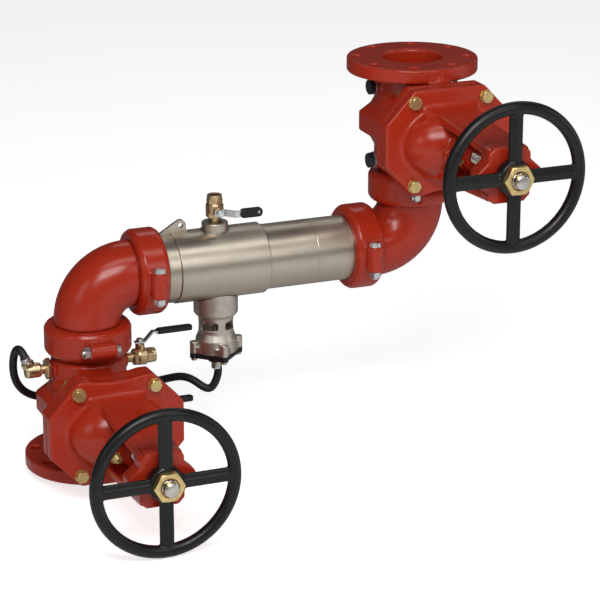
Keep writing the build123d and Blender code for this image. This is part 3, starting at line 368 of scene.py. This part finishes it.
# darkened colours for the castings' corners: tarnish and painted shade
BRASS_TARNISH_AND_SHADE = linear(84, 62, 40)
BRONZE_TARNISH_AND_SHADE = linear(70, 46, 24)
CAST_TARNISH_AND_SHADE = linear(60, 54, 48)
FINISHES = (                        # kind of finish, its name, its values in the kind's own order
    (enamel, "red_enamel", (RED, RED_EDGE, 0.23, RED_SHADE, 0.0016)),
    (enamel, "black_enamel", (BLACK, linear(48, 48, 48), 0.36, linear(8, 8, 8), 0.0012)),
    (rubber, "black_rubber", (linear(24, 24, 25), 0.48)),
    (rubber, "packing", (linear(60, 60, 62), 0.6)),
    (plated, "yellow_zinc", (linear(240, 216, 150), linear(218, 190, 132), 0.36)),
    (cast_metal, "brass", (linear(208, 180, 140), 0.33, 0.5, BRASS_TARNISH_AND_SHADE)),
    (cast_metal, "pale_brass", (linear(238, 218, 172), 0.30, 0.4)),
    (cast_metal, "bronze", (linear(186, 140, 82), 0.32, 0.5, BRONZE_TARNISH_AND_SHADE)),
    (plated, "stem_steel", (linear(214, 208, 200), linear(188, 184, 180), 0.24)),
    (brushed, "stainless", (STEEL, BRUSH_LINES, 0.34)),
    (cast_metal, "stainless_cast", (linear(170, 162, 150), 0.42, 1.0)),
    (cast_metal, "relief_casting", (linear(206, 198, 186), 0.40, 0.8, CAST_TARNISH_AND_SHADE)),
    (enamel, "black_cover", (COVER_BLACK, linear(70, 70, 70), 0.42, linear(10, 10, 10), 0.0008)),
    (plated, "bright_zinc", (linear(226, 226, 224), linear(204, 204, 206), 0.30)),
    (enamel, "black_steel", (STEEL_BLACK, linear(96, 100, 104), 0.34, linear(12, 12, 12), 0.0006)),
    (plated, "chrome", (linear(228, 228, 230), linear(214, 214, 218), 0.14)),
    (rubber, "black_vinyl", (linear(20, 20, 21), 0.38, 900.0)),
)
MATERIALS = {name: finish(name, *values) for finish, name, values in FINISHES}
PAINTED_OVER = {
    "bonnet_gaskets": "red_enamel",
    "inlet_wheel_nut": "yellow_zinc",
    "outlet_wheel_nut": "yellow_zinc",
    "hose_fittings": "pale_brass",
}


def paint_cad_nodes():
    """Every carried-over CAD node takes the finish of its slot, or the one it got after fitting."""
    for row in frame["record"]["subparts"]:
        node = frame["nodes"][row["node"]]
        finish = PAINTED_OVER.get(row["node"], row["material_slot"])
        node.data.materials.clear()
        node.data.materials.append(MATERIALS[finish])


# ================================================================== mesh helpers
def add_object(name, mesh, material, body):
    piece = bpy.data.objects.new(name, mesh)
    bpy.context.scene.collection.objects.link(piece)
    mesh.materials.clear()
    mesh.materials.append(MATERIALS[material])
    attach(piece, body)
    return piece


def smooth(mesh):
    mesh.polygons.foreach_set("use_smooth", [True] * len(mesh.polygons))


def applied(piece):
    """The piece's mesh with its modifiers baked in; the piece itself is removed."""
    bpy.context.view_layer.update()
    graph = bpy.context.evaluated_depsgraph_get()
    mesh = bpy.data.meshes.new_from_object(piece.evaluated_get(graph))
    bpy.data.objects.remove(piece)
    return mesh


CORNER_ROUNDS = 40
CORNER_PULL = 0.6


def blend_corner(mesh, weight_of):
    """Relaxes the mesh where weight_of(points) is above zero, which pours a fillet into a corner."""
    count = len(mesh.vertices)
    points = np.zeros(count * 3)
    mesh.vertices.foreach_get("co", points)
    points = points.reshape(-1, 3)
    ends = np.zeros(len(mesh.edges) * 2, int)
    mesh.edges.foreach_get("vertices", ends)
    first, second = ends.reshape(-1, 2).T
    valence = np.bincount(ends, minlength=count)[:, None]
    weight = weight_of(points)[:, None] * CORNER_PULL
    for _ in range(CORNER_ROUNDS):
        total = np.empty_like(points)
        for axis in range(3):
            total[:, axis] = np.bincount(first, points[second, axis], count)
            total[:, axis] += np.bincount(second, points[first, axis], count)
        points += weight * (total / valence - points)
    mesh.vertices.foreach_set("co", points.ravel())
    mesh.update()


def cast_copy(node, body, slot, voxel, rounds, corner=None):
    """A sand-cast version of a CAD node: its corners blend into each other as poured iron does."""
    mesh = frame["nodes"][node].data.copy()
    welded = bmesh.new()
    welded.from_mesh(mesh)
    bmesh.ops.remove_doubles(welded, verts=welded.verts, dist=1e-6)
    welded.to_mesh(mesh)
    welded.free()
    piece = bpy.data.objects.new(node + "_raw", mesh)
    bpy.context.scene.collection.objects.link(piece)
    remesh = piece.modifiers.new("remesh", "REMESH")
    remesh.mode = "VOXEL"
    remesh.voxel_size = voxel
    soften = piece.modifiers.new("soften", "SMOOTH")
    soften.factor = 0.5
    soften.iterations = rounds
    cast = applied(piece)
    if corner:
        blend_corner(cast, corner)
    smooth(cast)
    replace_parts(add_object(node + "_casting", cast, slot, body), node)


def turned_mesh(name, rings, segments, axis_matrix):
    """Closed body from rings of (height, radius) or (height, radius function of the angle)."""
    verts = []
    faces = []
    for height, radius in rings:
        for k in range(segments):
            angle = 2 * math.pi * k / segments
            r = radius(angle) if callable(radius) else radius
            verts.append(axis_matrix @ Vector((r * math.cos(angle), r * math.sin(angle), height)))
    for i in range(len(rings) - 1):
        for k in range(segments):
            a = i * segments + k
            b = i * segments + (k + 1) % segments
            faces.append((a, b, b + segments, a + segments))
    faces.append(tuple(reversed(range(segments))))
    last = (len(rings) - 1) * segments
    faces.append(tuple(range(last, last + segments)))
    mesh = bpy.data.meshes.new(name)
    mesh.from_pydata(verts, [], faces)
    mesh.update()
    return mesh


def smooth_by_angle(mesh, degrees):
    """Smooth shading that keeps edges sharper than the angle."""
    smooth(mesh)
    work = bmesh.new()
    work.from_mesh(mesh)
    for edge in work.edges:
        if len(edge.link_faces) == 2:
            edge.smooth = edge.calc_face_angle(0) < math.radians(degrees)
    work.to_mesh(mesh)
    work.free()


RINGS_PER_TURN = 10


def forward_matrix(x, z):
    """Carries a shape that stands on Z to one that points at the handwheel side."""
    return Matrix.Translation((x, 0, z)) @ Matrix.Rotation(math.radians(90), 4, "X")


def thread_rings(start, end, crest, depth, pitch):
    """Rings of a trapezoidal screw thread; each ring's radius follows the helix."""

    def radius_at(height):
        def radius(angle):
            phase = (height / pitch - angle / (2 * math.pi)) % 1.0
            rise = min(1.0, max(0.0, abs(phase - 0.5) * 5.0 - 0.75))
            return crest - depth * (1 - rise)
        return radius

    count = int((end - start) / pitch * RINGS_PER_TURN)
    heights = [start + (end - start) * i / count for i in range(count + 1)]
    return [(height, radius_at(height)) for height in heights]


# ================================================================== pieces
def dome_foot(side):
    """Weight that is one round the foot of a bonnet's dome and at the roots of its yoke arms."""
    x, z = stem_axis(side)
    half_x, half_z = DOME_SIZE      # the reach below is one on the dome's foot

    def weight(points):
        reach = np.hypot((points[:, 0] - x) / half_x, (points[:, 2] - z) / half_z)
        ahead = -points[:, 1]
        near_wall = np.clip(1 - np.abs(reach - 1.02) / 0.17, 0, 1)
        behind_front = np.clip((BLEND_FRONT - ahead) / 0.012, 0, 1)
        ahead_of_back = np.clip((ahead - BLEND_BACK) / 0.002, 0, 1)
        return near_wall * (behind_front * ahead_of_back)

    return weight


def castings():
    """Poured pieces get blended corners."""
    for side in ("inlet", "outlet"):
        cast_copy(side + "_valve_body", "frame", "red_enamel", 0.0019, 4)
        cast_copy(side + "_bonnet", "frame", "red_enamel", 0.0016, 5, dome_foot(side))
        cast_copy(side + "_handwheel", side + "_wheel", "black_enamel", 0.0014, 6)
        cast_copy(side + "_riser_coupling", "frame", "red_enamel", 0.0014, 4)
        cast_copy(side + "_tube_coupling", "frame", "red_enamel", 0.0014, 4)
    cast_copy("relief_body", "frame", "relief_casting", 0.0010, 3)


def rising_stems():
    """Stems with a real helical thread over the length that passes the stem nut."""
    for side in ("inlet", "outlet"):
        x, z = stem_axis(side)
        low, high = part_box(side + "_stem")
        foot, tip = -high.y, -low.y
        thread_start = tip - STEM_THREAD
        rings = [
            (foot, STEM_FOOT_R - 0.0015),
            (foot + 0.001, STEM_FOOT_R),
            (foot + 0.007, STEM_FOOT_R),
            (foot + 0.008, STEM_FOOT_R - 0.0015),
            (foot + 0.0082, STEM_CREST),
            (thread_start - 0.002, STEM_CREST),
        ]
        rings += thread_rings(thread_start, tip - 0.012, STEM_CREST, 0.0020, STEM_PITCH)
        rings += [
            (tip - 0.0105, STEM_END_R),
            (tip - 0.0025, STEM_END_R),
            (tip - 0.0004, STEM_END_R - 0.002),
            (tip, STEM_END_R - 0.003),
        ]
        mesh = turned_mesh(side + "_stem_threaded", rings, 64, forward_matrix(x, z))
        smooth_by_angle(mesh, 40)
        piece = add_object(mesh.name, mesh, "stem_steel", side + "_gate")
        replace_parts(piece, side + "_stem")


def along(point, way):
    """Carries a shape that stands on Z to one that starts at point and runs that way."""
    turn = Vector(way).normalized().to_track_quat("Z", "Y")
    return Matrix.Translation(point) @ turn.to_matrix().to_4x4()


def ridged(angle):
    return RING_R + RING_RIDGE * math.copysign(1, math.sin(RING_RIDGES * angle))


def plug_rings():
    """Bright ridged sealing rings between the pipe plugs and the outlet valve's bosses."""
    x, z = stem_axis("outlet")
    rings = [(0.0003, RING_BORE), (0.0008, ridged), (0.0052, ridged), (0.0058, RING_BORE)]
    for k, (side, level) in enumerate(((-1, 1), (-1, -1), (1, 1))):
        face = Vector((x + side * PORT_FACE, 0, z + level * PORT_RISE))
        mesh = turned_mesh("plug_ring_" + str(k + 1), rings, 144, along(face, (side, 0, 0)))
        smooth_by_angle(mesh, 20)
        add_object(mesh.name, mesh, "bright_zinc", "frame")


def hose_ferrules():
    """Crimped sleeves at the two ends of the sensing hose."""
    rings = [(0, 0.0070), (0.0003, 0.0084)]
    for k in range(3):
        base = 0.0010 + FERRULE_STEP * k
        rings += [(base, FERRULE_R), (base + 0.0012, FERRULE_R)]
        rings += [(base + 0.0016, FERRULE_NECK_R), (base + 0.0024, FERRULE_NECK_R)]
    rings += [(0.0098, 0.0086), (0.0102, 0.0072)]
    tilt = math.radians(FITTING_TILT)
    tail = Vector((-math.sin(tilt), 0, math.cos(tilt)))
    bend = Vector((FITTING_X, 0, stem_axis("inlet")[1] + PORT_RISE))
    nipple = Vector((RELIEF_X, 0, COVER_BOTTOM - COVER_NIPPLE))
    ends = (("inlet", bend + FITTING_TAIL * tail, tail), ("relief", nipple, (0, 0, -1)))
    for name, point, way in ends:
        mesh = turned_mesh(name + "_ferrule", rings, 48, along(point, way))
        smooth_by_angle(mesh, 35)
        add_object(mesh.name, mesh, "bright_zinc", "frame")


def hexagon(angle):
    return COLLAR_FLAT / math.cos((angle + math.pi / 6) % (math.pi / 3) - math.pi / 6)


def trimmed(angle):
    return hexagon(angle) - COLLAR_CHAMFER


def fitting_collar():
    """Large hexagon of the sensing fitting, against the inlet valve's left port."""
    rings = [
        (0.0013, COLLAR_BORE),
        (0.0015, trimmed),
        (0.0024, hexagon),
        (0.0080, hexagon),
        (0.0090, trimmed),
        (0.0093, COLLAR_BORE),
    ]
    face = Vector((-PORT_FACE, 0, stem_axis("inlet")[1] + PORT_RISE))
    mesh = turned_mesh("fitting_collar", rings, 96, along(face, (-1, 0, 0)))
    smooth_by_angle(mesh, 20)
    add_object(mesh.name, mesh, "pale_brass", "frame")


def stud_threads():
    """Screw threads on the gland studs ahead of their nuts."""
    rings = [(STUD_NUT_FACE - 0.0005, 0.0047)]
    rings += thread_rings(STUD_NUT_FACE, STUD_THREAD_END, STUD_CREST, 0.0007, STUD_PITCH)
    rings += [(STUD_THREAD_END + 0.0006, 0.0044)]
    for side in ("inlet", "outlet"):
        x, z = stem_axis(side)
        for k, offset in enumerate((-GLAND_STUD_X, GLAND_STUD_X)):
            name = side + "_stud_thread_" + str(k + 1)
            mesh = turned_mesh(name, rings, 32, forward_matrix(x + offset, z))
            smooth_by_angle(mesh, 40)
            add_object(name, mesh, "yellow_zinc", "frame")


BEAD_RIPPLE = 0.13
BEAD_STEP = 2.1                     # radians of ripple from one point of a bead to the next


def weld_bead(name, points, radius):
    """Closed rippled weld bead that follows a run of points on the housing."""
    count = len(points)
    around = 10
    verts = []
    faces = []
    for i, point in enumerate(points):
        ahead = (points[(i + 1) % count] - points[i - 1]).normalized()
        outward = Vector((0, point.y, point.z - TUBE_Z)).normalized()
        side = ahead.cross(outward).normalized()
        outward = side.cross(ahead)
        size = radius * (1 + BEAD_RIPPLE * math.sin(i * BEAD_STEP))
        for k in range(around):
            angle = 2 * math.pi * k / around
            verts.append(point + size * (math.cos(angle) * side + math.sin(angle) * outward))
    for i in range(count):
        for k in range(around):
            a = i * around + k
            b = i * around + (k + 1) % around
            c = ((i + 1) % count) * around + (k + 1) % around
            d = ((i + 1) % count) * around + k
            faces.append((a, b, c, d))
    mesh = bpy.data.meshes.new(name)
    mesh.from_pydata(verts, [], faces)
    mesh.update()
    smooth(mesh)
    add_object(name, mesh, "stainless_cast", "frame")


def boss_foot():
    """Closed run where the top boss meets the housing."""
    count = 150
    points = []
    for i in range(count):
        angle = 2 * math.pi * i / count
        y = BOSS_WELD_R * math.sin(angle)
        rise = math.sqrt(HOUSING_R ** 2 - y ** 2)
        points.append(Vector((RELIEF_X + BOSS_WELD_R * math.cos(angle), y, TUBE_Z + rise)))
    return points


def lug_foot():
    """Closed run round the foot of the lifting lug, on the housing's crown."""
    top = HOUSING_TOP - 0.0002
    steps = 60
    turn_steps = 6
    points = []
    for start, end in ((LUG_START, LUG_END), (LUG_END, LUG_START)):
        side = 1 if end > start else -1
        for i in range(steps):
            points.append(Vector((start + (end - start) * i / steps, -side * LUG_HALF_T, top)))
        for i in range(turn_steps):
            angle = math.pi * (i / turn_steps - 0.5)
            out = side * LUG_HALF_T
            points.append(Vector((end + out * math.cos(angle), out * math.sin(angle), top)))
    return points


def welds():
    weld_bead("top_boss_weld", boss_foot(), 0.0016)
    weld_bead("lug_weld", lug_foot(), 0.0013)


# ================================================================== stage
AIM = Vector((0.392, 0.0, 0.2448))
CAMERA_AZIMUTH = -21.97             # degrees, from the handwheel side toward the outlet riser
CAMERA_ELEVATION = 18.75
CAMERA_DISTANCE = 4.4014
CAMERA_LENS = 149.46
SENSOR = 36.0
LIGHTS = (                          # name, azimuth, elevation, distance, width and height, power
    ("key", -24, 42, 3.2, (1.7, 1.0), 48),
    ("left", -68, 24, 3.4, (0.9, 1.4), 6),
    ("front", 18, 26, 3.6, (1.0, 1.4), 10),
    ("fill", 62, 16, 3.4, (1.6, 1.8), 10),
    ("rim", 146, 48, 3.4, (3.2, 0.6), 9),
    ("shine", -6, 66, 3.2, (3.0, 0.7), 20),
)
HIGHLIGHT_ONLY = {"shine"}          # lights that polished surfaces mirror but that light nothing
SKY_HIGH = (0.42, 0.42, 0.44, 1)
SKY_STRENGTH = (0.22, 0.07)         # ahead of the part and behind it


def direction(azimuth, elevation):
    a = math.radians(azimuth)
    e = math.radians(elevation)
    return Vector((math.sin(a) * math.cos(e), -math.cos(a) * math.cos(e), math.sin(e)))


def aimed(name, data, azimuth, elevation, distance):
    """Puts a lamp or camera at a distance from the aim point and turns it toward that point."""
    made = bpy.data.objects.new(name, data)
    bpy.context.scene.collection.objects.link(made)
    back = direction(azimuth, elevation)
    made.location = AIM + back * distance
    made.rotation_mode = "QUATERNION"
    made.rotation_quaternion = (-back).to_track_quat("-Z", "Y")
    return made


def make_camera():
    data = bpy.data.cameras.new("camera")
    data.lens = CAMERA_LENS
    data.sensor_width = SENSOR
    data.clip_start = 0.1
    data.clip_end = 100.0
    camera = aimed("camera", data, CAMERA_AZIMUTH, CAMERA_ELEVATION, CAMERA_DISTANCE)
    bpy.context.scene.camera = camera


def area_light(name, azimuth, elevation, distance, size, power):
    data = bpy.data.lights.new(name, "AREA")
    data.shape = "RECTANGLE"
    data.size = size[0]
    data.size_y = size[1]
    data.energy = power
    lamp = aimed(name, data, azimuth, elevation, distance)
    lamp.visible_diffuse = name not in HIGHLIGHT_ONLY


def make_stage():
    """Pale floor and soft boxes."""
    bpy.ops.mesh.primitive_plane_add(size=60, location=(0, 0, cad_low.z - 0.002))
    floor = bpy.context.active_object
    floor.name = "floor"
    floor.data.materials.append(floor_material())
    for light in LIGHTS:
        area_light(*light)
    bpy.context.scene.view_settings.view_transform = "Standard"


def make_surround():
    """Pale horizon that darkens upward and behind the part."""
    world = bpy.data.worlds.new("studio")
    bpy.context.scene.world = world
    world.use_nodes = True
    tree = world.node_tree
    background = tree.nodes["Background"]
    coord = tree.nodes.new("ShaderNodeTexCoord")
    split = tree.nodes.new("ShaderNodeSeparateXYZ")
    sky = tree.nodes.new("ShaderNodeValToRGB")
    horizon, high_up = sky.color_ramp.elements
    horizon.position = 0.0
    horizon.color = (1, 1, 1, 1)
    high_up.position = 0.7
    high_up.color = SKY_HIGH
    behind = tree.nodes.new("ShaderNodeMapRange")
    behind.inputs["From Min"].default_value = 0.4
    behind.inputs["From Max"].default_value = 0.7
    behind.inputs["To Min"].default_value = SKY_STRENGTH[0]
    behind.inputs["To Max"].default_value = SKY_STRENGTH[1]
    tree.links.new(coord.outputs["Generated"], split.inputs[0])
    tree.links.new(split.outputs["Z"], sky.inputs["Fac"])
    tree.links.new(split.outputs["Y"], behind.inputs["Value"])
    tree.links.new(behind.outputs["Result"], background.inputs["Strength"])
    tree.links.new(sky.outputs["Color"], background.inputs["Color"])


paint_cad_nodes()
castings()
rising_stems()
stud_threads()
plug_rings()
hose_ferrules()
fitting_collar()
welds()
make_stage()
make_surround()
make_camera()
